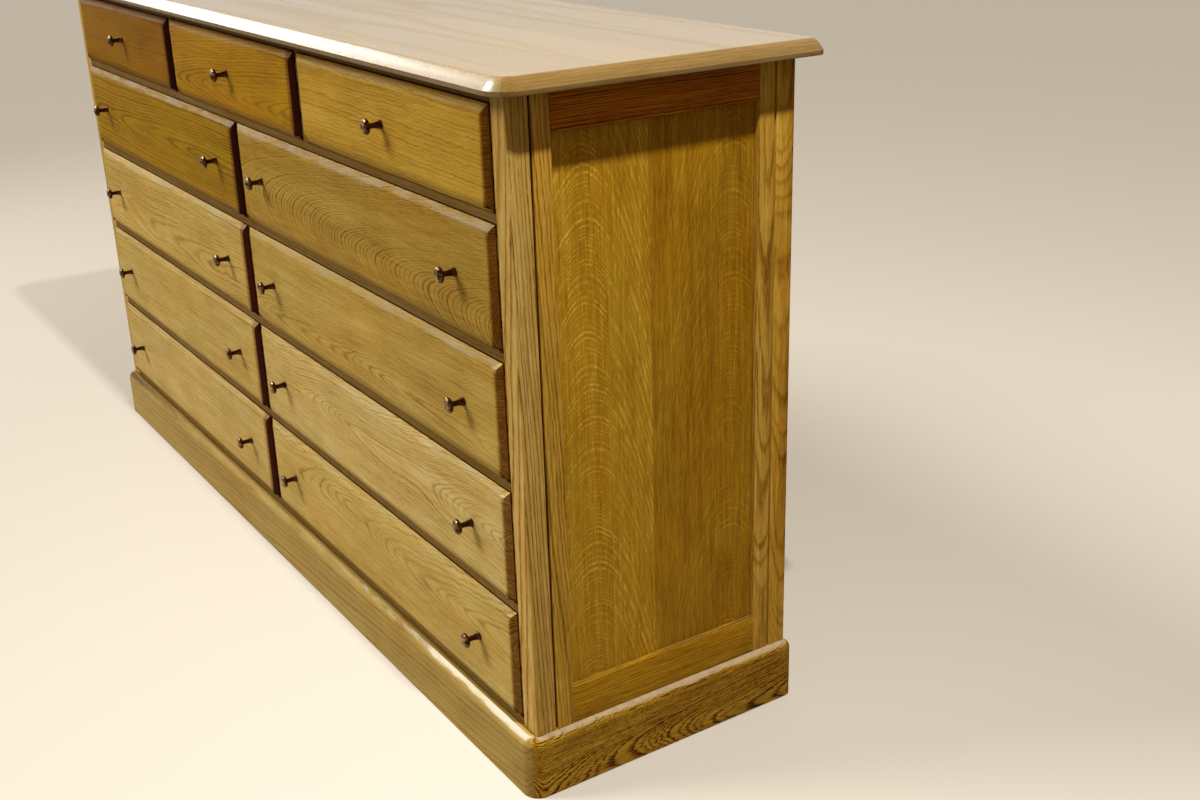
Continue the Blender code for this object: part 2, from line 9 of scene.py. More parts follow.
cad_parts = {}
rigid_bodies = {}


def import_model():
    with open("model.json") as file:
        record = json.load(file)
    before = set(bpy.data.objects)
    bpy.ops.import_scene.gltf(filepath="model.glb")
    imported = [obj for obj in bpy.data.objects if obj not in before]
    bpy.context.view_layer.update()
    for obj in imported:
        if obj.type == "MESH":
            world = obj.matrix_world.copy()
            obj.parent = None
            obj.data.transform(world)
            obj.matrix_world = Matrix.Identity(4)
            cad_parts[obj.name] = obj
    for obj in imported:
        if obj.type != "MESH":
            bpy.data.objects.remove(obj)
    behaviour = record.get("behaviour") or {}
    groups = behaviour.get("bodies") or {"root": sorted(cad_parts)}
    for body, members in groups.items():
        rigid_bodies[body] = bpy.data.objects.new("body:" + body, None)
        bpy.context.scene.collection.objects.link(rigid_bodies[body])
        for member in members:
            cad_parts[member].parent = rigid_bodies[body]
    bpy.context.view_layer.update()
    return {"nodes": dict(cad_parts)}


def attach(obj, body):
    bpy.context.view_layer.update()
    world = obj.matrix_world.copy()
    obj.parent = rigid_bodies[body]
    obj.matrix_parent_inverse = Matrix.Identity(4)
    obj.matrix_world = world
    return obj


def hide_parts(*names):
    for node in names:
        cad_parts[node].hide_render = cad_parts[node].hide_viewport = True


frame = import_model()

bpy.context.scene.view_settings.view_transform = "Standard"


# Plinth: four oak boards stand on edge as a low box, with rounded corners. Their upper edge is
# moulded to a slope with a slight swell. Shoes and brooms have rubbed the slope pale and grey, and
# painted light makes it paler to the right and darker to the left.
TOUCH = 0.0003
HALF_WIDTH, FRONT_Y, BACK_Y = 0.911, -0.21725, 0.21875
CARCASS_BOTTOM, CARCASS_TOP = 0.094, 0.964
# How far the plinth stands out, its corners' radii from the front left round, its boards'
# thickness, and the least radius of any corner in a plan
PLINTH_REACH = {"side": 0.010, "front": 0.018, "back": 0.010}
PLINTH_RADII = (0.025, 0.025, 0.012, 0.012)
PLINTH_BOARD, LEAST_RADIUS = 0.022, 0.0006
# Width, height and swell of the slope, and where up it the wear starts and how soon it is full
PLINTH_SLOPE = (0.010, 0.0125, 0.0024)
WEAR_FOOT, WEAR_CLIMB = 0.001, 0.009

# Oak from its open pores to its pale late wood, and the place of plain wood between the two
OAK_TONES = ((0.0, (0.030, 0.004, 0.0003)), (0.26, (0.095, 0.031, 0.0015)), (0.50, (0.215, 0.105, 0.007)),
             (0.66, (0.325, 0.183, 0.017)), (0.82, (0.430, 0.268, 0.042)), (1.0, (0.560, 0.400, 0.110)))
PLAIN_SHADE = 0.66


class Wire:
    """One output of a material's nodes. Sums on wires add the Math nodes that work them out."""

    def __init__(self, tree, socket=None):
        self.tree, self.socket = tree, socket

    def node(self, kind, settings, inputs, output=0):
        """Adds a node: its settings first, then the value of each socket or the wire to it."""
        made = self.tree.nodes.new("ShaderNode" + kind)
        for name, setting in settings.items():
            if name == "stops":
                stops = made.color_ramp.elements
                stops.remove(stops[1])
                stops[0].position, stops[0].color = setting[0][0], (*setting[0][1], 1)
                for place, colour in setting[1:]:
                    stops.new(place).color = (*colour, 1)
            else:
                setattr(made, name, setting)
        for key, value in inputs.items():
            if isinstance(value, Wire):
                self.tree.links.new(value.socket, made.inputs[key])
            else:
                made.inputs[key].default_value = value
        return Wire(self.tree, made.outputs[output])

    def math(self, operation, *values):
        """One Math node on this wire and the other values."""
        return self.node("Math", {"operation": operation}, dict(enumerate((self, *values))))

    def __add__(self, other):
        return self.math("ADD", other)

    __radd__ = __add__

    def __mul__(self, other):
        return self.math("MULTIPLY", other)

    __rmul__ = __mul__

    def __sub__(self, other):
        return self.math("SUBTRACT", other)

    def __rsub__(self, other):
        return self * -1 + other

    def __truediv__(self, other):
        return self.math("DIVIDE", other)

    def rise(self, low, high):
        """0 below low, 1 above high, and smooth between; it falls where low is the larger."""
        return self.node("MapRange", {"interpolation_type": "SMOOTHSTEP"},
                         {"Value": self, "From Min": low, "From Max": high})

    def parts(self):
        """The three coordinates of a place."""
        split = self.node("SeparateXYZ", {}, {"Vector": self}).socket.node
        return [Wire(self.tree, output) for output in split.outputs]

    def noise(self, x, y, z, detail=2.0, roughness=0.5):
        """Smooth noise between 0 and 1 at a place given by three wires."""
        place = self.node("CombineXYZ", {}, {"X": x, "Y": y, "Z": z})
        return self.node("TexNoise", {}, {"Vector": place, "Scale": 1.0, "Detail": detail,
                                          "Roughness": roughness})

    def chance(self):
        """A random number between 0 and 1 for each value of the wire."""
        return self.node("TexWhiteNoise", {"noise_dimensions": "1D"}, {"W": self})

    def blend(self, share, other, kind="MIX"):
        """This colour where the share is 0 and the other one where it is 1.

        A Mix node has a socket A and a socket B for each kind of value, so they go by number.
        """
        return self.node("Mix", {"data_type": "RGBA", "blend_type": kind},
                         {0: share, 6: self, 7: other}, 2)


def tinted(tones, red, green, blue):
    """The same row of tones in a redder, greener or bluer stain."""
    return tuple((place, (r * red, g * green, b * blue)) for place, (r, g, b) in tones)


def oak(name, axes, heart, ring=0.0042, start=0.0, taper=0.0, lean=0.0, skew=0.0, drift=0.0,
        wander=0.004, ripple=0.0006, tooth=0.0005, lines=0.20, bands=0.18, streaks=0.16, pores=0.25,
        seed=0.0, tones=OAK_TONES, staves=None, stave_tone=(0.0, 0.0), hearts=None, flecks=0.0,
        end_grain=0.30, dark_end=None, worn_and_shaded=(0.3, (0.50, 0.40, 0.26)), roughness=0.42, gloss=0.06):
    """Satin lacquered oak for one board, with the rings of the log it was sawn from.

    axes names the coordinates along the grain, across the face and into the board. The heart of the
    log lies at heart in the last two where the first is start. For each metre along, its place across
    grows by drift and its place into falls by lean. With h and d the distances from the heart, the
    ring's number is (sqrt(h h + d d) + skew h - taper along) / ring, after a slow wander, a ripple
    and a fine tooth.

    Each ring starts with a thin dark line of open pores. lines, pores, bands, streaks and end_grain
    are how much these lines, the pores, broad bands, fine streaks and the sawn ends change the
    shade, which is the place on the row of tones. flecks draws each ring as broken pale rays
    instead, three fine ones near the heart and a broad one further out. Beyond dark_end the wood is
    darkened further as painted shade.

    staves, a first joint and a width, makes the face up of glued strips. Their hearts lie at hearts,
    the first one's place and the step to the next, or else by chance. stave_tone is how far their
    shades differ by chance and from one to the next.

    A point attribute is 1 where the finish has gone, by the share and to the colour given for that, and
    -1 where the wood is darkened as painted shade. Where that colour is dark, it is painted shade too.
    gloss is the strength of the reflections.
    """
    material = bpy.data.materials.new(name)
    material.use_nodes = True
    shader = material.node_tree.nodes["Principled BSDF"]
    desk = Wire(material.node_tree)
    places = desk.node("TexCoord", {}, {}, "Object").parts()
    along, across, into = (places["xyz".index(axis)] for axis in axes)
    step = along - start
    along = along + seed
    shade = PLAIN_SHADE
    if staves:
        strip = ((across - staves[0]) / staves[1]).math("FLOOR")
        chance = (strip + seed).chance()
        shade = shade + (chance - 0.5) * stave_tone[0] + strip * stave_tone[1]
        along = along + chance * 7.0
        across_board = across - (strip + 0.5) * staves[1] - staves[0]
        across_board -= strip * hearts[1] + hearts[0] if hearts else (chance - 0.5) * 0.05
    else:
        across_board = across

    def grain(long, wide, detail=2.0, shift=0.0):
        """Noise drawn out along the grain, with so many waves to the metre each way."""
        return desk.noise((along + shift) * long, across * wide, into * wide, detail)

    # Distances from the heart, after the slow wander and the ripple
    h = across_board - step * drift - heart[0] + (grain(2.6, 7.0, 1.0) - 0.5) * (2 * wander)
    h = h + (grain(62, 26, 1.0, 9.9) - 0.5) * (4 * ripple)
    d = into + step * lean - heart[1] + (grain(3.1, 8.0, 1.0, 4.7) - 0.5) * (3 * wander)
    # The ring here, its width varied by chance, how far through it this place is, and its luck
    fine = grain(40, 640, 2.0)
    radius = (h * h + d * d).math("SQRT") + h * skew - step * taper + (fine - 0.5) * (2 * tooth)
    width = desk.node("TexNoise", {"noise_dimensions": "1D"},
                      {"W": radius / (ring * 3.3) + seed, "Scale": 1.0, "Detail": 1.0})
    number = radius / ring + width * 1.6
    phase = number.math("FRACT")
    luck = number.math("FLOOR").chance()
    # The ring's dark line, which sets in sharply, fades out and is broken, and the pores in the wood
    strength = luck * 0.8 + 0.40
    patch = grain(3.4, 15, 2.0, 1.3)
    broken = grain(60, 900, 1.0, 5.5).rise(0.25, 0.60) * 0.6 + 0.4
    early = phase.rise(0.0, 0.14) * phase.rise(0.55, 0.12) * strength * broken * (patch * 1.6 + 0.2)
    holes = grain(190, 2400, 1.0).rise(0.57, 0.70)
    # Fine and short streaks, broad bands and blotches
    short = grain(9, 230, 3.0, 2.2)
    broad = grain(1.3, 24, 2.0, 8.1)
    mottle = desk.noise(along * 11, across * 16, into * 16, 3.0)
    thread = grain(26, 1500, 2.0, 6.3)
    shade = (shade + (fine - 0.5) * streaks + (short - 0.5) * streaks * 1.2 + (thread - 0.5) * streaks
             + (broad - 0.5) * bands + (mottle - 0.5) * 0.18)
    if flecks:
        dashes = desk.noise(along * 70, across * 110, into * 110, 3.0).rise(0.36, 0.62) * 0.8 + 0.2
        hairs = (phase * 3).math("FRACT")
        hairs = hairs.rise(0.08, 0.30) * hairs.rise(0.66, 0.38) * phase.rise(0.90, 0.66)
        wide = phase.rise(0.10, 0.32) * phase.rise(0.74, 0.46)
        ray = wide * 0.8 + (hairs - wide * 0.8) * h.math("ABSOLUTE").rise(0.055, 0.025)
        ray = ray * dashes * patch.rise(0.15, 0.5) * (luck * 0.7 + 0.5) * (1 - strip * 0.5)
        shade = shade + ray * flecks
    else:
        shade = shade - early * lines
    # Sawn ends take more stain, and below nought the point attribute darkens the wood as painted shade
    facing = desk.node("NewGeometry", {}, {}, "Normal").parts()["xyz".index(axes[0])].math("ABSOLUTE")
    wear_shade = desk.node("Attribute", {"attribute_name": "rubbed"}, {}, "Fac")
    shade = (shade - holes * (early * 0.8 + 0.25) * pores - facing.rise(0.04, 0.45) * end_grain
             - wear_shade.rise(0.0, -1.0) * 0.62)
    # Painted shade beyond dark_end along the grain
    if dark_end is not None:
        shade = shade - (step + start).rise(dark_end, dark_end + 0.012) * (end_grain * 0.4)
    colour = desk.node("ValToRGB", {"stops": tones}, {"Fac": shade})
    drift_of_hue = desk.noise(along * 4, across * 13, into * 13, 2.0).rise(0.36, 0.64)
    colour = colour.blend(drift_of_hue, (1.02, 0.95, 0.84, 1), "MULTIPLY")
    # Where the finish is worn off, but not on sawn ends. Where the colour given for this is dark, it is
    # painted shade
    scuffs = desk.noise(along * 16, across * 60, into * 60, 4.0, 0.65)
    bare = (wear_shade * 0.75 + scuffs - 0.85).rise(0.0, 0.30) * worn_and_shaded[0] * facing.rise(0.35, 0.10)
    colour = colour.blend(bare, (*worn_and_shaded[1], 1))
    polish = early * 0.10 + holes * 0.08 + (mottle - 0.5) * 0.10 + bare * 0.1 + roughness
    relief = desk.node("Bump", {}, {"Strength": 0.3, "Distance": 0.0003,
                                    "Height": 1 - early * 0.5 - holes * 0.8 + short * 0.3})
    shader.inputs["Specular IOR Level"].default_value = gloss
    for key, wire in (("Base Color", colour), ("Roughness", polish), ("Normal", relief)):
        material.node_tree.links.new(wire.socket, shader.inputs[key])
    return material


def rounded(corners, radii, steps):
    """A closed outline with its corners rounded.

    A corner P with unit directions a and b to its neighbours becomes the points
    P + r a (1 - sin t) + r b (1 - cos t) for t from nought to a quarter turn, which is a quarter
    circle where the corner is square.
    """
    corners = np.array(corners, float)
    to_last, to_next = np.roll(corners, 1, 0) - corners, np.roll(corners, -1, 0) - corners
    to_last /= np.linalg.norm(to_last, axis=1, keepdims=True)
    to_next /= np.linalg.norm(to_next, axis=1, keepdims=True)
    t = np.linspace(0, math.pi / 2, steps + 1)[:, None]
    bend = to_last[:, None] * (1 - np.sin(t)) + to_next[:, None] * (1 - np.cos(t))
    return (corners[:, None] + np.broadcast_to(radii, len(corners))[:, None, None] * bend).reshape(-1, 2)


def plan(reach, radii, inset, steps=14):
    """The chest's plan at a reach beyond the carcass, drawn in by inset, with rounded corners.

    Each corner keeps its centre as it is drawn in, so its radius falls by the inset.
    """
    x = HALF_WIDTH + reach["side"] - inset
    front, back = FRONT_Y - reach["front"] + inset, BACK_Y + reach["back"] - inset
    return rounded([(-x, front), (x, front), (x, back), (-x, back)],
                   np.maximum(np.array(radii) - inset, LEAST_RADIUS), steps)


def lifted(outline, height):
    """The points of a flat outline at a height."""
    return np.column_stack([outline, np.full(len(outline), height)])


def swelled(width, height, swell, steps=10):
    """Insets and heights up a slope whose middle stands out by swell sin(pi share), square to it."""
    share = np.linspace(0, 1, steps + 1)
    bulge = swell * np.sin(math.pi * share) / math.hypot(width, height)
    return np.stack([share * width - bulge * height, share * height + bulge * width], 1)


def skinned(name, rings, looped=False, rubbed=0.0, crisp=32):
    """A closed surface over rings of points, an array of (ring, point, coordinate).

    Points j and j + 1 of a ring and of the next one make a face. The first and last rings are
    joined where looped, and otherwise closed with flat faces. Doubled points are merged, and the
    faces are turned outwards where the volume, the sum of a . (b x c) over triangles, is negative.
    The values given for scuffs and painted shade are kept as an attribute of the points.
    """
    rings = np.asarray(rings, float)
    count, around = rings.shape[:2]
    i, j = np.meshgrid(np.arange(count - (not looped)), np.arange(around), indexing="ij")
    k, l = (i + 1) % count, (j + 1) % around
    faces = np.stack([i * around + j, i * around + l, k * around + l, k * around + j], -1).reshape(-1, 4)
    faces = faces.tolist()
    if not looped:
        faces += [list(range(around))[::-1], list(range((count - 1) * around, count * around))]
    mesh = bpy.data.meshes.new(name)
    mesh.from_pydata(rings.reshape(-1, 3).tolist(), [], faces)
    wear_shade = np.broadcast_to(rubbed, (count, around)).astype(float).reshape(-1)
    mesh.attributes.new("rubbed", "FLOAT", "POINT").data.foreach_set("value", wear_shade)
    return outward(mesh, crisp)


def outward(mesh, crisp):
    """Merges doubled points, turns the faces outwards and keeps edges sharper than crisp degrees."""
    work = bmesh.new()
    work.from_mesh(mesh)
    bmesh.ops.remove_doubles(work, verts=work.verts, dist=1e-6)
    work.to_mesh(mesh)
    work.free()
    mesh.calc_loop_triangles()
    corners = np.zeros(len(mesh.loop_triangles) * 3, np.int32)
    mesh.loop_triangles.foreach_get("vertices", corners)
    points = np.zeros(len(mesh.vertices) * 3)
    mesh.vertices.foreach_get("co", points)
    a, b, c = points.reshape(-1, 3)[corners.reshape(-1, 3)].transpose(1, 0, 2)
    if np.sum(a * np.cross(b, c)) < 0:
        mesh.flip_normals()
    mesh.shade_smooth()
    mesh.set_sharp_from_angle(angle=math.radians(crisp))
    return mesh


def fitted(name, mesh, material, body, slot, *nodes):
    """The finished piece: it stands for its nodes and rides on its body. slot is not used."""
    made = bpy.data.objects.new(name, mesh)
    bpy.context.scene.collection.objects.link(made)
    mesh.materials.append(material)
    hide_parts(*nodes)
    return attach(made, body)


def moulded(square, slope, top, under, arris=0.0007):
    """Insets and heights of a board's edge: an eased lower arris, a square edge, then the slope.

    slope is its width, height and swell. The flat faces below and above reach in as far as under.
    arris is the size of the easing, which takes up twice that much each way at the lower arris.
    """
    curve = swelled(*slope) + (0, square)
    foot = np.array([(under, 0), (arris * 2, 0), (arris * 0.6, arris * 0.15), (arris * 0.15, arris * 0.6),
                     (0, arris * 2), (0, square - arris * 1.2)])
    head = np.array([(slope[0] + arris, top - arris * 0.1), (slope[0] + arris * 3, top), (under, top)])
    curve[-1] += (0, -arris * 0.5)
    return np.concatenate([foot, curve, head])


def sides_shown(mesh, reach, ceiling):
    """Gives the second material to the faces below a height that lie nearer a side of the plan
    than its front or back."""
    centres = np.zeros(len(mesh.polygons) * 3)
    mesh.polygons.foreach_get("center", centres)
    x, y, z = centres.reshape(-1, 3).T
    from_side = HALF_WIDTH + reach["side"] - np.abs(x)
    from_front = np.minimum(y - FRONT_Y + reach["front"], BACK_Y + reach["back"] - y)
    mesh.polygons.foreach_set("material_index", ((from_side < from_front) & (z < ceiling)).astype(np.int32))


slope_foot = CARCASS_BOTTOM - PLINTH_SLOPE[1]
profile = moulded(slope_foot, PLINTH_SLOPE, CARCASS_BOTTOM, PLINTH_BOARD)
rings = [lifted(plan(PLINTH_REACH, PLINTH_RADII, inset), height) for inset, height in profile]
climb = np.clip((profile[:, 1] - slope_foot - WEAR_FOOT) / WEAR_CLIMB, 0, 1)
climb[profile[:, 0] > PLINTH_SLOPE[0] + TOUCH] = 0
# The wear grows to the right, where the pale slope is partly painted light, and turns to painted
# shade at the left end; the ledge beside the carcass is painted dark, as the shade under the fronts
plinth_wear_and_light = climb[:, None] * (0.20 + 0.80 * rings[0][:, 0] / HALF_WIDTH)
plinth_wear_and_light[-1] = -1
plinth_oak = oak("plinth_oak", "xzy", (-0.16, 0.10), ring=0.0062, lines=0.10, taper=0.03, seed=3.1,
                 bands=0.14, tones=tinted(OAK_TONES, 0.84, 1.05, 2.7), end_grain=0.05,
                 worn_and_shaded=(0.80, (0.46, 0.43, 0.35)), roughness=0.46)
plinth_side_oak = oak("plinth_side_oak", "yzx", (0.02, 0.86), ring=0.0023, lines=0.90, taper=0.12,
                      skew=0.2, wander=0.014, ripple=0.0014, tooth=0.0014, seed=5.3, bands=0.44,
                      streaks=0.46, tones=tinted(OAK_TONES, 1.00, 1.03, 0.75), end_grain=0.05,
                      worn_and_shaded=(0.7, (0.37, 0.30, 0.19)), roughness=0.44)
plinth_mesh = skinned("moulded_plinth", rings, looped=True, rubbed=plinth_wear_and_light)
fitted("moulded_plinth", plinth_mesh, plinth_oak, "carcass", "oak_plinth", "plinth")
plinth_mesh.materials.append(plinth_side_oak)
sides_shown(plinth_mesh, PLINTH_REACH, CARCASS_TOP)


# Ledger: a flat frame of plain oak strips, screwed inside the plinth flush with its top. The
# carcass stands on it.
frame["nodes"]["plinth_ledger"].material_slots[0].material = oak(
    "ledger_oak", "xyz", (0.0, 0.25), ring=0.005, lines=0.3, seed=9.4, roughness=0.55,
    tones=tinted(OAK_TONES, 0.85, 0.85, 0.85))


# Posts: four stout posts of solid oak carry the carcass. The front ones have a rounded outer arris.
# The back ones are rebated for the back.
POST_WIDTH, POST_DEPTH = 0.035, 0.030
# How much of a back post's width the rebate takes, and where its floor lies
BACK_REBATE, REBATE_Y = 0.012, 0.20645
SIDES = ((-1, "left"), (1, "right"))


def upright(name, outline, material, slot, node, rubbed=0.0):
    """A post or stile: one cross-section, an outline of x and y, as tall as the carcass."""
    mesh = skinned(name, [lifted(outline, z) for z in (CARCASS_BOTTOM + TOUCH, CARCASS_TOP - TOUCH)],
                   rubbed=rubbed)
    return fitted(name, mesh, material, "carcass", slot, node)


inner = HALF_WIDTH - POST_WIDTH
front_plan = rounded([(inner, FRONT_Y), (HALF_WIDTH, FRONT_Y), (HALF_WIDTH, FRONT_Y + POST_DEPTH),
                      (inner, FRONT_Y + POST_DEPTH)], (0.0006, 0.003, 0.0008, 0.0004), 6)
back_plan = rounded([(inner, BACK_Y - POST_DEPTH), (HALF_WIDTH, BACK_Y - POST_DEPTH),
                     (HALF_WIDTH, BACK_Y), (inner + BACK_REBATE, BACK_Y),
                     (inner + BACK_REBATE, REBATE_Y), (inner, REBATE_Y)],
                    (0.0005, 0.0008, 0.0018, 0.0008, 0.0003, 0.0003), 4)
for side, word in SIDES:
    grain = oak(f"front_{word}_post_oak", "zxy", (side * 0.838, -0.060), ring=0.0052, lines=0.29,
                taper=0.024, wander=0.0060, tooth=0.0009, seed=1.7 + side, streaks=0.24, bands=0.20,
                tones=tinted(OAK_TONES, 1.20, 1.44, 3.8))
    upright(f"front_{word}_post_eased", front_plan * (side, 1), grain, "oak_post", f"front_{word}_post")
    grain = oak(f"back_{word}_post_oak", "zyx", (0.207, side * 0.868), ring=0.0040, lines=0.17,
                taper=0.07, wander=0.016, tooth=0.0012, seed=6.2 + side, start=0.55, bands=0.62,
                streaks=0.30, tones=tinted(OAK_TONES, 1.20, 1.18, 1.3))
    upright(f"back_{word}_post_eased", back_plan * (side, 1), grain, "oak_post", f"back_{word}_post")


# Side frames: two stiles and two rails of oak, tenoned together and grooved for a panel. A quirk
# runs down each outer edge, where the frame meets the posts.
FRAME_THICKNESS, STILE_WIDTH = 0.020, 0.0295
QUIRK_WIDTH, QUIRK_DEPTH = 0.0032, 0.005
# The panel groove's two cheeks, measured from the side's face, and its depth
GROOVE_NEAR, GROOVE_FAR, GROOVE_DEPTH = 0.0087, 0.0163, 0.0083
WINDOW_Y, WINDOW_Z = (-0.15745, 0.15895), (0.152, 0.912)
STILE_ENDS = (WINDOW_Y[0] - STILE_WIDTH, WINDOW_Y[1] + STILE_WIDTH)
# How dark the quirk is painted, as painted shade in the groove, how strongly the rails are painted
# dark from just behind their faces, as painted shade on their lit edges, and the gap that they keep
# from the stiles
QUIRK_SHADE, RAIL_EDGE_SHADE, RAIL_SKIN, RAIL_GAP = -0.72, 0.8, 0.0003, 0.0001
# A stile's section as depths from the side's face and distances from its outer edge
stile_section = [(QUIRK_DEPTH, 0), (QUIRK_DEPTH, QUIRK_WIDTH), (0, QUIRK_WIDTH), (0, STILE_WIDTH),
                 (GROOVE_NEAR, STILE_WIDTH), (GROOVE_NEAR, STILE_WIDTH - GROOVE_DEPTH),
                 (GROOVE_FAR, STILE_WIDTH - GROOVE_DEPTH), (GROOVE_FAR, STILE_WIDTH),
                 (FRAME_THICKNESS, STILE_WIDTH), (FRAME_THICKNESS, 0)]
stile_plan = rounded(stile_section, (0.0003, 0.0003, 0.0009, 0.0007, 0.0004, 0.0003, 0.0003, 0.0003,
                                     0.0005, 0.0005), 3)
# The painted shade starts just behind the side's face and reaches just past the quirk
shaded_quirk = QUIRK_SHADE * ((stile_plan[:, 0] > 0.001) & (stile_plan[:, 1] < QUIRK_WIDTH + 0.0004))
# Each rail's outer and window edges, and the tint of its stain; the top rail's tint is darker and redder,
# as painted shade under the top's overhang
RAILS = {"top": (CARCASS_TOP - TOUCH, WINDOW_Z[1], (0.98, 0.62, 0.24)),
         "bottom": (CARCASS_BOTTOM + TOUCH, WINDOW_Z[0], (1.06, 1.02, 0.38))}


def rail_rings(z_outer, z_window, side):
    """Rings of a rail's cross-section, from stile to stile; its grooved edge is at the window."""
    grows = math.copysign(1, z_window - z_outer)
    width = abs(z_window - z_outer)
    section = [(0, 0), (0, width), (GROOVE_NEAR, width), (GROOVE_NEAR, width - GROOVE_DEPTH),
               (GROOVE_FAR, width - GROOVE_DEPTH), (GROOVE_FAR, width), (FRAME_THICKNESS, width),
               (FRAME_THICKNESS, 0)]
    section = rounded(section, (0.0005, 0.0010, 0.0005, 0.0003, 0.0003, 0.0003, 0.0005, 0.0005), 3)
    x = side * (HALF_WIDTH - section[:, 0])
    z = z_outer + grows * section[:, 1]
    return [np.column_stack([x, np.full(len(x), y), z])
            for y in (WINDOW_Y[0] + RAIL_GAP, WINDOW_Y[1] - RAIL_GAP)]


for side, word in SIDES:
    node = f"{word}_side_frame"
    front_oak = oak(f"{word}_front_stile_oak", "zyx", (-0.050, side * 0.800), ring=0.0046, lines=0.31,
                    taper=0.040, wander=0.0060, tooth=0.0009, seed=2.2 * side, streaks=0.32,
                    tones=tinted(OAK_TONES, 1.15, 1.22, 1.7))
    back_oak = oak(f"{word}_back_stile_oak", "zyx", (0.176, side * 0.872), ring=0.0044, lines=0.24,
                   taper=0.03, wander=0.014, tooth=0.0010, seed=4.4 * side, start=0.4, streaks=0.32,
                   bands=0.52, tones=tinted(OAK_TONES, 1.22, 1.32, 2.1))
    for place, y, grain in (("front", STILE_ENDS[0] + stile_plan[:, 1], front_oak),
                            ("back", STILE_ENDS[1] - stile_plan[:, 1], back_oak)):
        outline = np.column_stack([side * (HALF_WIDTH - stile_plan[:, 0]), y])
        upright(f"{word}_side_{place}_stile", outline, grain, "oak_side_frame", node, shaded_quirk)
    for place, (outer, window, tone) in RAILS.items():
        name = f"{word}_side_{place}_rail"
        # The dark colour laid on their edges behind the side's face is painted shade, on the bottom rail's
        # lit ledge too
        grain = oak(name + "_oak", "yzx", (0.7, side * 0.7), ring=0.0026, lines=0.50, wander=0.002,
                    seed=outer * 9 + side, streaks=0.40, worn_and_shaded=(0.7, (0.09, 0.058, 0.018)),
                    tones=tinted(OAK_TONES, *tone))
        rings = np.array(rail_rings(outer, window, side))
        rail_edge_shade = RAIL_EDGE_SHADE * (HALF_WIDTH - np.abs(rings[..., 0]) > RAIL_SKIN)
        fitted(name, skinned(name, rings, rubbed=rail_edge_shade), grain, "carcass", "oak_side_frame", node)


# Side panels: each is two quarter-sawn boards glued edge to edge, held loose in the frame's
# groove. Their rays show as nested pale arcs, stronger on the front board.
for side, word in SIDES:
    frame["nodes"][f"{word}_side_panel"].material_slots[0].material = oak(
        f"{word}_panel_oak", "zyx", (0.0, side * 0.68), ring=0.0022, taper=-0.10, wander=0.0022,
        tooth=0.0004, seed=7.7 * side, staves=(-0.181, 0.170), stave_tone=(0.0, -0.10),
        hearts=(-0.015, 0.061), flecks=0.28, bands=0.07, streaks=0.30,
        tones=tinted(OAK_TONES, 0.95, 0.93, 0.55))


# Row frames: a frame of plain oak under each row of drawers, housed in the posts, with runners,
# guides and a stop for each drawer. Its front edge shows between the rows. A partition halves the
# wide rows, and the top frame carries the dividers of the top row.
plain_frames = ["bottom_frame", "top_frame"] + [f"row_frame_{row}" for row in range(1, 5)]
# Their stain is painted dark, as painted shade on the front edges that lie back between the drawers
for place, node in enumerate(plain_frames):
    frame["nodes"][node].material_slots[0].material = oak(
        node + "_oak", "xyz", (0.4, 0.3), ring=0.0040, lines=0.15, seed=place * 1.9,
        tones=tinted(OAK_TONES, 0.42, 0.46, 1.2), roughness=0.48, gloss=0.02)
# The partition's front edge is painted darker still, as the deep shade between the drawers
frame["nodes"]["centre_partition"].material_slots[0].material = oak(
    "partition_oak", "zyx", (0.5, 0.2), ring=0.0040, lines=0.15, seed=8.8,
    tones=tinted(OAK_TONES, 0.22, 0.07, 0.1), roughness=0.48, gloss=0.02)


# Back: fourteen thin oak boards set upright side by side, with a vee groove at each joint, let
# into the rebates of the back posts.
BACK_HALF_WIDTH, BACK_BOARDS = 0.8877, 14
frame["nodes"]["back_panel"].material_slots[0].material = oak(
    "back_boards_oak", "zxy", (0.0, 0.26), ring=0.0046, taper=0.03, lines=0.26, seed=2.9,
    staves=(-BACK_HALF_WIDTH, 2 * BACK_HALF_WIDTH / BACK_BOARDS), stave_tone=(0.20, 0.0),
    tones=tinted(OAK_TONES, 0.86, 0.84, 0.86), roughness=0.56)


# Top board: oak staves glued edge to edge, with a moulded edge above a narrow square one. It
# stands out all round. Years of wiping have left it smooth and glossy.
TOP_REACH = {"side": 0.025, "front": 0.025, "back": 0.034}
TOP_RADII = (0.038, 0.038, 0.016, 0.016)
# The thickness, the slope's width, height and swell, and how far the rim of the mesh reaches in
TOP_THICKNESS, TOP_SLOPE, TOP_RIM = 0.0215, (0.013, 0.0155, 0.0010), 0.0185
TOP_TONES = ((0.0, (0.045, 0.018, 0.003)), (0.5, (0.120, 0.076, 0.019)),
             (0.66, (0.150, 0.100, 0.028)), (1.0, (0.24, 0.175, 0.075)))
profile = moulded(TOP_THICKNESS - TOP_SLOPE[1], TOP_SLOPE, TOP_THICKNESS, TOP_RIM)
rings = [lifted(plan(TOP_REACH, TOP_RADII, inset), CARCASS_TOP + height) for inset, height in profile]
top_oak = oak("top_oak", "xyz", (0.0, 0.90), ring=0.0200, taper=0.02, lines=0.0, wander=0.006,
              seed=0.4, staves=(-0.198, 0.106), stave_tone=(0.12, 0.0), streaks=0.06, bands=0.10,
              pores=0.0, tones=TOP_TONES, end_grain=0.06, roughness=0.25, gloss=1.0)
edge_oak = oak("top_edge_oak", "yzx", (1.03, 0.85), ring=0.0050, lines=0.06, wander=0.004, seed=0.7,
               bands=0.30, tones=tinted(OAK_TONES, 0.47, 0.51, 1.6), end_grain=0.04, gloss=0.20)
top_mesh = skinned("moulded_top", rings, crisp=22)
fitted("moulded_top", top_mesh, top_oak, "carcass", "oak_top", "top_board")
top_mesh.materials.append(edge_oak)
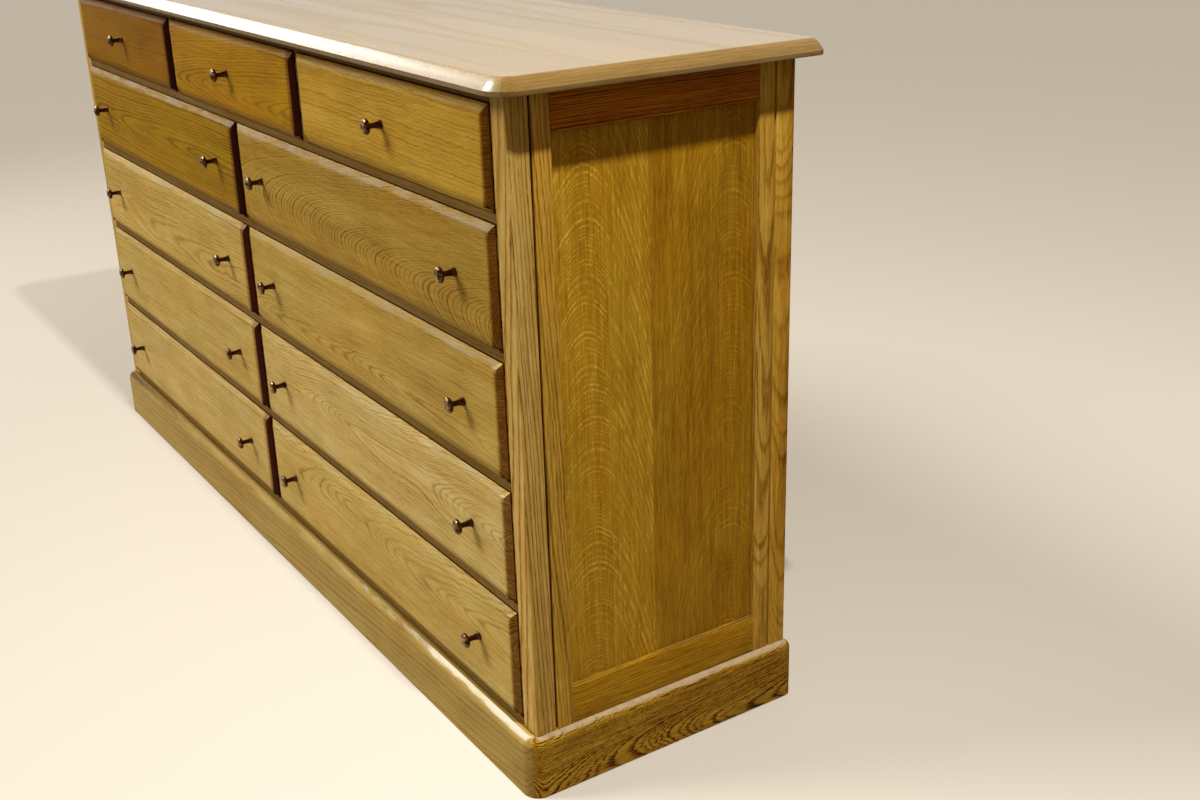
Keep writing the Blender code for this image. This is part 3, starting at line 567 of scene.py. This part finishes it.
sides_shown(top_mesh, TOP_REACH, CARCASS_TOP + TOP_THICKNESS - TOUCH)


# Drawer fronts: a thick oak board each, with a bevel planed along all four edges. It stands a
# little proud of the rails. Sockets at its ends take the dovetails of the drawer's sides.
FRONT_GAP, FRONT_THICKNESS, FRONT_PROUD = 0.00125, 0.020, 0.0078
BEVEL_WIDTH, BEVEL_DEPTH, BEVEL_EASING = 0.0123, 0.0062, 0.0036
BOX_WALL, BOX_HEADROOM, TAIL_LENGTH = 0.012, 0.012, 0.012
# Half a tail's width at its root as a share of the pitch, and its slope, one in so many
TAIL_SHARE, TAIL_SLOPE = 0.30, 6
WIDE_OPENING, TOP_ROW_OPENING, DIVIDER = (0.8711, 0.16575), (0.5774667, 0.1335), 0.0098
ROW_BOTTOMS = {1: 0.817, 2: 0.63925, 3: 0.4615, 4: 0.28375, 5: 0.106}
FACE_Y = FRONT_Y - FRONT_PROUD
# How much of the finish is worn off the upper bevels, row by row from the top, and the colour there.
# The pale colour is partly a painted highlight, and the top row's small share is painted shade under
# the top.
ROW_WEAR_AND_LIGHT, WORN_AND_LIT_BEVEL = (0.15, 0.45, 0.38, 0.20, 0.16), (0.34, 0.31, 0.235)
# How far in from a front's right end the wood is darkened as painted shade, and how dark end grain
# comes out, on the right fronts and on the others. End grain takes the stain darker, and the others'
# darker value is painted shade.
OUTER_END, INNER_END = (0.022, 0.26), (0.030, 0.60)

drawers = {}
for row, bottom in ROW_BOTTOMS.items():
    size = TOP_ROW_OPENING if row == 1 else WIDE_OPENING
    words = ("left", "middle", "right") if row == 1 else ("left", "right")
    for place, word in enumerate(words):
        middle = (place - (len(words) - 1) / 2) * (size[0] + DIVIDER)
        drawers[f"row_{row}_{word}_drawer"] = (row, middle, bottom + size[1] / 2, size)


def front_outline(width, height, opening_height, tails, inset, spread, deep):
    """A front's outline in x and z, with a step into each socket along both ends.

    The sockets share the end's height out evenly. Each is open from -spread to spread about its
    middle and reaches deep into the end; deep is nought in front of the sockets.
    """
    a, b = width / 2 - inset, height / 2 - inset
    low, high = -opening_height / 2 + TOUCH, opening_height / 2 - BOX_HEADROOM
    pitch = (high - low) / tails
    middles = low + (np.arange(tails) + 0.5) * pitch
    half = pitch * TAIL_SHARE + TOUCH + spread
    z = (middles[:, None] + np.array([-1, -1, 1, 1]) * half).reshape(-1)
    x = np.tile([a, a - deep, a - deep, a], tails)
    right = np.column_stack([x, z])
    left = right[::-1] * (-1, 1)
    return np.concatenate([[(-a, -b), (a, -b)], right, [(a, b), (-a, b)], left])


def front_rings(row, middle, level, size):
    """Rings from the front's back face to its face, with the share of finish gone from each, below nought
    where painted shade darkens it.

    The bevel is straight and meets the face in a soft arris: with the corner P, and A and B a step
    before and after it, the points (1 - t)(1 - t) A + 2 t (1 - t) P + t t B. The finish has gone pale
    on the upper bevel, where the pale colour is partly a painted highlight, and the board's edges and
    sockets behind the bevel are painted dark, as painted shade in the gaps round the front.
    """
    width, height = size[0] - 2 * FRONT_GAP, size[1] - 2 * FRONT_GAP
    tails = 3 if row == 1 else 4
    back_face = FACE_Y + FRONT_THICKNESS
    tip = back_face - TAIL_LENGTH - TOUCH
    flare = (TAIL_LENGTH + TOUCH) / TAIL_SLOPE
    deep = BOX_WALL + 2 * TOUCH
    slope = np.array([BEVEL_WIDTH, -BEVEL_DEPTH]) / math.hypot(BEVEL_WIDTH, BEVEL_DEPTH)
    corner = np.array([BEVEL_WIDTH, FACE_Y])
    t = np.linspace(0, 1, 6)[:, None]
    arris = ((1 - t) ** 2 * (corner - slope * BEVEL_EASING) + 2 * t * (1 - t) * corner
             + t ** 2 * (corner + (BEVEL_EASING, 0)))
    edge = np.array([(0, FACE_Y + BEVEL_DEPTH + 0.0004), (0.0001, FACE_Y + BEVEL_DEPTH + 0.0001),
                     (0.0004, FACE_Y + BEVEL_DEPTH - 0.0002)])
    levels = [(0, back_face, 0, deep), (0, tip, flare, deep), (0, tip, flare, 0)]
    levels += [(inset, y, flare, 0) for inset, y in np.concatenate([edge, arris])]
    # Painted shade on the back, the sockets and the board's edges, then wear with a painted highlight on
    # the upper bevel
    wear_shade = np.concatenate([[-1, -1, -1, -1, -0.3, 0.6, 0.75], 0.75 - 0.5 * t[1:-1, 0], [0]])
    outlines = [front_outline(width, height, size[1], tails, inset, spread, cut)
                for inset, _, spread, cut in levels]
    rings = [np.column_stack([o[:, 0] + middle, np.full(len(o), y), o[:, 1] + level])
             for o, (_, y, _, _) in zip(outlines, levels)]
    upper = np.array([o[:, 1] > height * 0.4 for o in outlines])
    return rings, np.where(upper, wear_shade[:, None], np.minimum(wear_shade[:, None], 0.05))


# The figure of each front, as oak() takes it, with places measured from the front's middle, and the
# tone of its stain. The tones hold painted light too: darker and redder in the top rows, for the
# shade under the top, and paler and bluer low down, for a painted sheen.
FIGURES = {
    "row_1_left": dict(heart=(-0.22, 0.05), ring=0.0060, lines=0.10, taper=0.02, tone=(0.60, 0.50, 0.03)),
    "row_1_middle": dict(heart=(-0.030, 0.016), ring=0.0048, lines=0.20, taper=0.09, start=-0.27,
                         wander=0.010, tone=(0.89, 0.84, 0.20)),
    "row_1_right": dict(heart=(-0.30, 0.10), ring=0.0050, lines=0.14, taper=0.03, drift=-0.05,
                        wander=0.012, ripple=0.0018, tooth=0.0010, tone=(1.14, 1.29, 1.6)),
    "row_2_left": dict(heart=(-0.002, 0.012), ring=0.0060, lines=0.22, lean=0.05, wander=0.012,
                       tone=(0.75, 0.77, 0.19)),
    "row_2_right": dict(heart=(-0.006, 0.054), ring=0.0030, lines=0.27, taper=0.22, lean=0.03,
                        skew=0.25, drift=-0.050, start=-0.31, wander=0.006, ripple=0.0012, tooth=0.0007,
                        tone=(0.92, 1.07, 1.75)),
    "row_3_left": dict(heart=(-0.02, 0.03), ring=0.0050, lines=0.13, lean=0.04, wander=0.016,
                       ripple=0.0014, tone=(1.25, 1.62, 4.6)),
    "row_3_right": dict(heart=(-0.046, 0.012), ring=0.0034, lines=0.17, taper=0.05, lean=0.02,
                        start=-0.05, wander=0.018, ripple=0.0016, tone=(1.06, 1.32, 3.0)),
    "row_4_left": dict(heart=(-0.24, 0.03), ring=0.0060, lines=0.13, taper=0.05, wander=0.014,
                       ripple=0.0014, tone=(1.15, 1.48, 4.1)),
    "row_4_right": dict(heart=(0.010, 0.020), ring=0.0038, lines=0.18, taper=0.10, start=-0.05,
                        wander=0.022, ripple=0.0014, tone=(1.28, 1.73, 6.2)),
    "row_5_left": dict(heart=(-0.26, 0.06), ring=0.0060, lines=0.11, wander=0.014, ripple=0.0014,
                       tone=(1.15, 1.49, 4.6)),
    "row_5_right": dict(heart=(0.014, 0.030), ring=0.0034, lines=0.14, taper=0.08, skew=-0.3,
                        start=0.05, wander=0.016, ripple=0.0016, tone=(1.16, 1.51, 4.3)),
}
for place, (drawer, (row, middle, level, size)) in enumerate(drawers.items()):
    figure = dict(FIGURES[drawer.removesuffix("_drawer")])
    across, deep = figure.pop("heart")
    tone = figure.pop("tone")
    figure["start"] = figure.get("start", 0.0) + middle
    # The right end of each front is painted darker as shade, more on the left and middle fronts
    end_reach, end_shade = OUTER_END if drawer.endswith("right_drawer") else INNER_END
    grain = oak(drawer + "_front_oak", "xzy", (level + across, FACE_Y + deep), seed=1.37 * place,
                tones=tinted(OAK_TONES, *tone), worn_and_shaded=(ROW_WEAR_AND_LIGHT[row - 1], WORN_AND_LIT_BEVEL), streaks=0.20,
                gloss=0.03, dark_end=middle + size[0] / 2 - end_reach, end_grain=end_shade, **figure)
    rings, wear_shade = front_rings(row, middle, level, size)
    mesh = skinned(drawer + "_bevelled_front", rings, rubbed=wear_shade)
    fitted(drawer + "_bevelled_front", mesh, grain, drawer, "oak_front", drawer + "_front")


# Drawer boxes: thin sides, back and bottom of pale unstained wood. The sides are dovetailed into
# the front, and they slide on the frames.
BOX_TONES = ((0.0, (0.30, 0.20, 0.10)), (0.5, (0.52, 0.40, 0.24)), (1.0, (0.68, 0.56, 0.38)))
for place, drawer in enumerate(drawers):
    frame["nodes"][drawer + "_box"].material_slots[0].material = oak(
        drawer + "_box_wood", "yzx", (0.4, 0.3), ring=0.0065, lines=0.12, seed=3.3 * place,
        pores=0.15, end_grain=0.12, roughness=0.6, tones=BOX_TONES)


# Knobs: cast and turned in dark bronze, with a domed head on a slim stem that flares at its foot.
# Hands have polished the crown and the rim a little brighter.
KNOB_RADIUS, KNOB_REACH, KNOB_INSET, KNOB_RISE, KNOB_SIDES = 0.011, 0.0277, 0.103, 0.001, 28
# From foot to crown, shares of the head's radius and of the reach
KNOB_SHARES = np.array([(0.58, 0.0), (0.60, 0.03), (0.55, 0.065), (0.46, 0.14), (0.385, 0.27),
                        (0.35, 0.42), (0.36, 0.54), (0.46, 0.62), (0.78, 0.69), (0.96, 0.735),
                        (1.0, 0.785), (0.985, 0.83), (0.87, 0.90), (0.64, 0.957), (0.34, 0.992),
                        (0.08, 1.0)])
# The share of the reach where the polish starts, and how fast it grows
POLISH_SHARE, POLISH_GROWTH = 0.66, 3
PATINA = ((0.3, (0.030, 0.009, 0.004)), (0.7, (0.105, 0.047, 0.018)))
BARE_BRONZE = (0.40, 0.27, 0.11, 1)


def flowing(points, steps):
    """A curve through the points: between two of them, a cubic whose slopes are half the step
    between each point's neighbours."""
    padded = np.concatenate([[2 * points[0] - points[1]], points, [2 * points[-1] - points[-2]]])
    p0, p1, p2, p3 = (padded[i:len(padded) - 3 + i, None] for i in range(4))
    t = np.linspace(0, 1, steps, endpoint=False)[None, :, None]
    curve = (p1 + (p2 - p0) * t / 2 + (p0 - 2.5 * p1 + 2 * p2 - p3 / 2) * t ** 2
             + (1.5 * (p1 - p2) + (p3 - p0) / 2) * t ** 3)
    return np.concatenate([curve.reshape(-1, points.shape[1]), points[-1:]])


def bronze(name):
    """Dark bronze: brown patina, thin and bright where the point attribute says it is handled."""
    material = bpy.data.materials.new(name)
    material.use_nodes = True
    shader = material.node_tree.nodes["Principled BSDF"]
    desk = Wire(material.node_tree)
    x, y, z = desk.node("TexCoord", {}, {}, "Object").parts()
    cloud = desk.noise(x * 160, y * 160, z * 160, 3.0, 0.5)
    grit = desk.noise(x * 1100, y * 1100, z * 1100, 2.0)
    worn_and_shaded = desk.node("Attribute", {"attribute_name": "rubbed"}, {}, "Fac")
    bare = (worn_and_shaded * 0.6 + cloud - 0.85).rise(0.0, 0.40)
    colour = desk.node("ValToRGB", {"stops": PATINA}, {"Fac": cloud}).blend(bare, BARE_BRONZE)
    relief = desk.node("Bump", {}, {"Strength": 0.05, "Distance": 0.0002, "Height": grit + cloud})
    shader.inputs["Metallic"].default_value = 1.0
    for key, wire in (("Base Color", colour), ("Roughness", cloud * 0.16 - bare * 0.04 + 0.10),
                      ("Normal", relief)):
        material.node_tree.links.new(wire.socket, shader.inputs[key])
    return material


knob_bronze = bronze("knob_bronze")
knob_curve = flowing(KNOB_SHARES, 3)
turn = np.linspace(0, math.tau, KNOB_SIDES, endpoint=False)
knob_wear = np.clip((knob_curve[:, 1] - POLISH_SHARE) * POLISH_GROWTH, 0, 1)[:, None]
for drawer, (row, middle, level, size) in drawers.items():
    spots = {"": 0} if row == 1 else {"_left": KNOB_INSET - size[0] / 2, "_right": size[0] / 2 - KNOB_INSET}
    for end, offset in spots.items():
        x, z = (knob_curve[:, :1] * KNOB_RADIUS * way(turn) for way in (np.cos, np.sin))
        y = FACE_Y - TOUCH - knob_curve[:, 1:] * (KNOB_REACH - TOUCH)
        rings = np.stack([middle + offset + x, np.broadcast_to(y, x.shape), level + KNOB_RISE + z], -1)
        mesh = skinned("turned_knob", rings, rubbed=knob_wear, crisp=50)
        fitted(f"{drawer}{end}_turned_knob", mesh, knob_bronze, drawer, "bronze", f"{drawer}{end}_knob")


# Studio: a plain pale floor and a faint warm surround. A broad sun from the front left is the key
# light, a small lamp high on the right lights the side, and a weak panel fills in from the left.
# Only the camera sees the pale floor; for all other rays it darkens away from the chest.
FLOOR_SEEN, FLOOR_NEAR, FLOOR_FAR = (0.475, 0.445, 0.385, 1), (0.38, 0.34, 0.28, 1), (0.05, 0.045, 0.04, 1)
FLOOR_MIDDLE, FLOOR_FADES = (-0.5, -0.7), (0.7, 3.2)
FLOOR_HALF, FLOOR_DROP = 20, 0.0005
SURROUND_WARM, SURROUND_PALE = (1.0, 0.70, 0.42, 1), (1.0, 0.99, 0.97, 1)
LAMP_COLOUR = (1, 0.98, 0.95)

floor_material = bpy.data.materials.new("pale_floor")
floor_material.use_nodes = True
desk = Wire(floor_material.node_tree)
x, y, z = desk.node("TexCoord", {}, {}, "Object").parts()
x, y = x - FLOOR_MIDDLE[0], y - FLOOR_MIDDLE[1]
away = (x * x + y * y).math("SQRT").rise(*FLOOR_FADES)
floor_colour = desk.node("Mix", {"data_type": "RGBA"}, {0: away, 6: FLOOR_NEAR, 7: FLOOR_FAR}, 2)
floor_colour = floor_colour.blend(desk.node("LightPath", {}, {}, "Is Camera Ray"), FLOOR_SEEN)
floor_shader = floor_material.node_tree.nodes["Principled BSDF"]
floor_material.node_tree.links.new(floor_colour.socket, floor_shader.inputs["Base Color"])
floor_shader.inputs["Roughness"].default_value = 0.8
floor_mesh = bpy.data.meshes.new("pale_floor")
floor_mesh.from_pydata([(x * FLOOR_HALF, y * FLOOR_HALF, -FLOOR_DROP)
                        for x, y in ((-1, -1), (1, -1), (1, 1), (-1, 1))], [], [(0, 1, 2, 3)])
floor_mesh.materials.append(floor_material)
floor = bpy.data.objects.new("pale_floor", floor_mesh)
bpy.context.scene.collection.objects.link(floor)

# The camera sees a white surround, and so do reflections towards the back and left. For all other
# rays it glows faintly, more so near the horizon.
world = bpy.data.worlds.new("studio")
world.use_nodes = True
desk = Wire(world.node_tree)
x, y, height = desk.node("TexCoord", {}, {}, "Generated").parts()
glow = height.rise(0.55, 0.0) * 0.32 + 0.25
beyond = (y * 0.54 - x * 0.84).rise(-0.3, 0.3) * 0.8 + 0.2
mirrored = desk.node("LightPath", {}, {}, "Is Glossy Ray") * beyond
white = desk.node("LightPath", {}, {}, "Is Camera Ray").math("MAXIMUM", mirrored)
tint = desk.node("Mix", {"data_type": "RGBA"}, {0: white, 6: SURROUND_WARM, 7: SURROUND_PALE}, 2)
backing = world.node_tree.nodes["Background"]
world.node_tree.links.new(tint.socket, backing.inputs["Color"])
world.node_tree.links.new((glow + white * (1 - glow)).socket, backing.inputs["Strength"])
bpy.context.scene.world = world


def standing(right, up, back, place):
    """The matrix of a lamp or camera from its own three directions and its place."""
    return Matrix(np.vstack([np.column_stack([right, up, back, place]), (0, 0, 0, 1)]).tolist())


def lamp(name, kind, place, target, spread, power):
    """A soft warm light at a place facing a target: a sun of an angle, or a square panel of a size."""
    light = bpy.data.lights.new(name, kind)
    light.energy, light.color = power, LAMP_COLOUR
    setattr(light, "angle" if kind == "SUN" else "size", spread)
    made = bpy.data.objects.new(name, light)
    bpy.context.scene.collection.objects.link(made)
    back = np.subtract(place, target)
    back /= np.linalg.norm(back)
    right = np.cross((0, 0, 1), back)
    right /= np.linalg.norm(right)
    made.matrix_world = standing(right, np.cross(back, right), back, place)
    return made


lamp("key_light", "SUN", (-1.47, -1.80, 2.42), (0, 0, 0.5), spread=math.radians(26), power=3.35)
high = lamp("high_light", "AREA", (1.63, -0.26, 3.00), (0.6, 0, 0.5), spread=0.08, power=120)
high.visible_glossy = False
lamp("left_light", "AREA", (-3.20, -0.95, 2.25), (0, 0, 0.9), spread=1.3, power=40)

# The high lamp shines past the knobs, which keeps specks of shadow off the floor below them
knobs = bpy.data.collections.new("knobs")
for piece in bpy.data.objects:
    if piece.name.endswith("_turned_knob"):
        knobs.objects.link(piece)
high.light_linking.blocker_collection = knobs
for link in knobs.collection_objects:
    link.light_linking.link_state = "EXCLUDE"


# Camera: it stands at the photograph's viewpoint, to the right of the chest and above it. Its turns
# are in radians, and its lens is in millimetres for a frame 36 mm wide.
CAMERA_PLACE, LENS, FRAME_WIDTH = (2.3564184, -1.0368044, 1.2398753), 43.2016, 36
YAW, PITCH, ROLL = 0.9955334, -0.3757301, -0.0303587
ahead = np.array([-math.sin(YAW) * math.cos(PITCH), math.cos(YAW) * math.cos(PITCH), math.sin(PITCH)])
level_right = np.array([math.cos(YAW), math.sin(YAW), 0.0])
level_up = np.cross(level_right, ahead)
right = math.cos(ROLL) * level_right + math.sin(ROLL) * level_up
up = math.cos(ROLL) * level_up - math.sin(ROLL) * level_right
camera_data = bpy.data.cameras.new("camera")
camera_data.sensor_width, camera_data.lens = FRAME_WIDTH, LENS
camera = bpy.data.objects.new("camera", camera_data)
bpy.context.scene.collection.objects.link(camera)
camera.matrix_world = standing(right, up, -ahead, CAMERA_PLACE)
bpy.context.scene.camera = camera
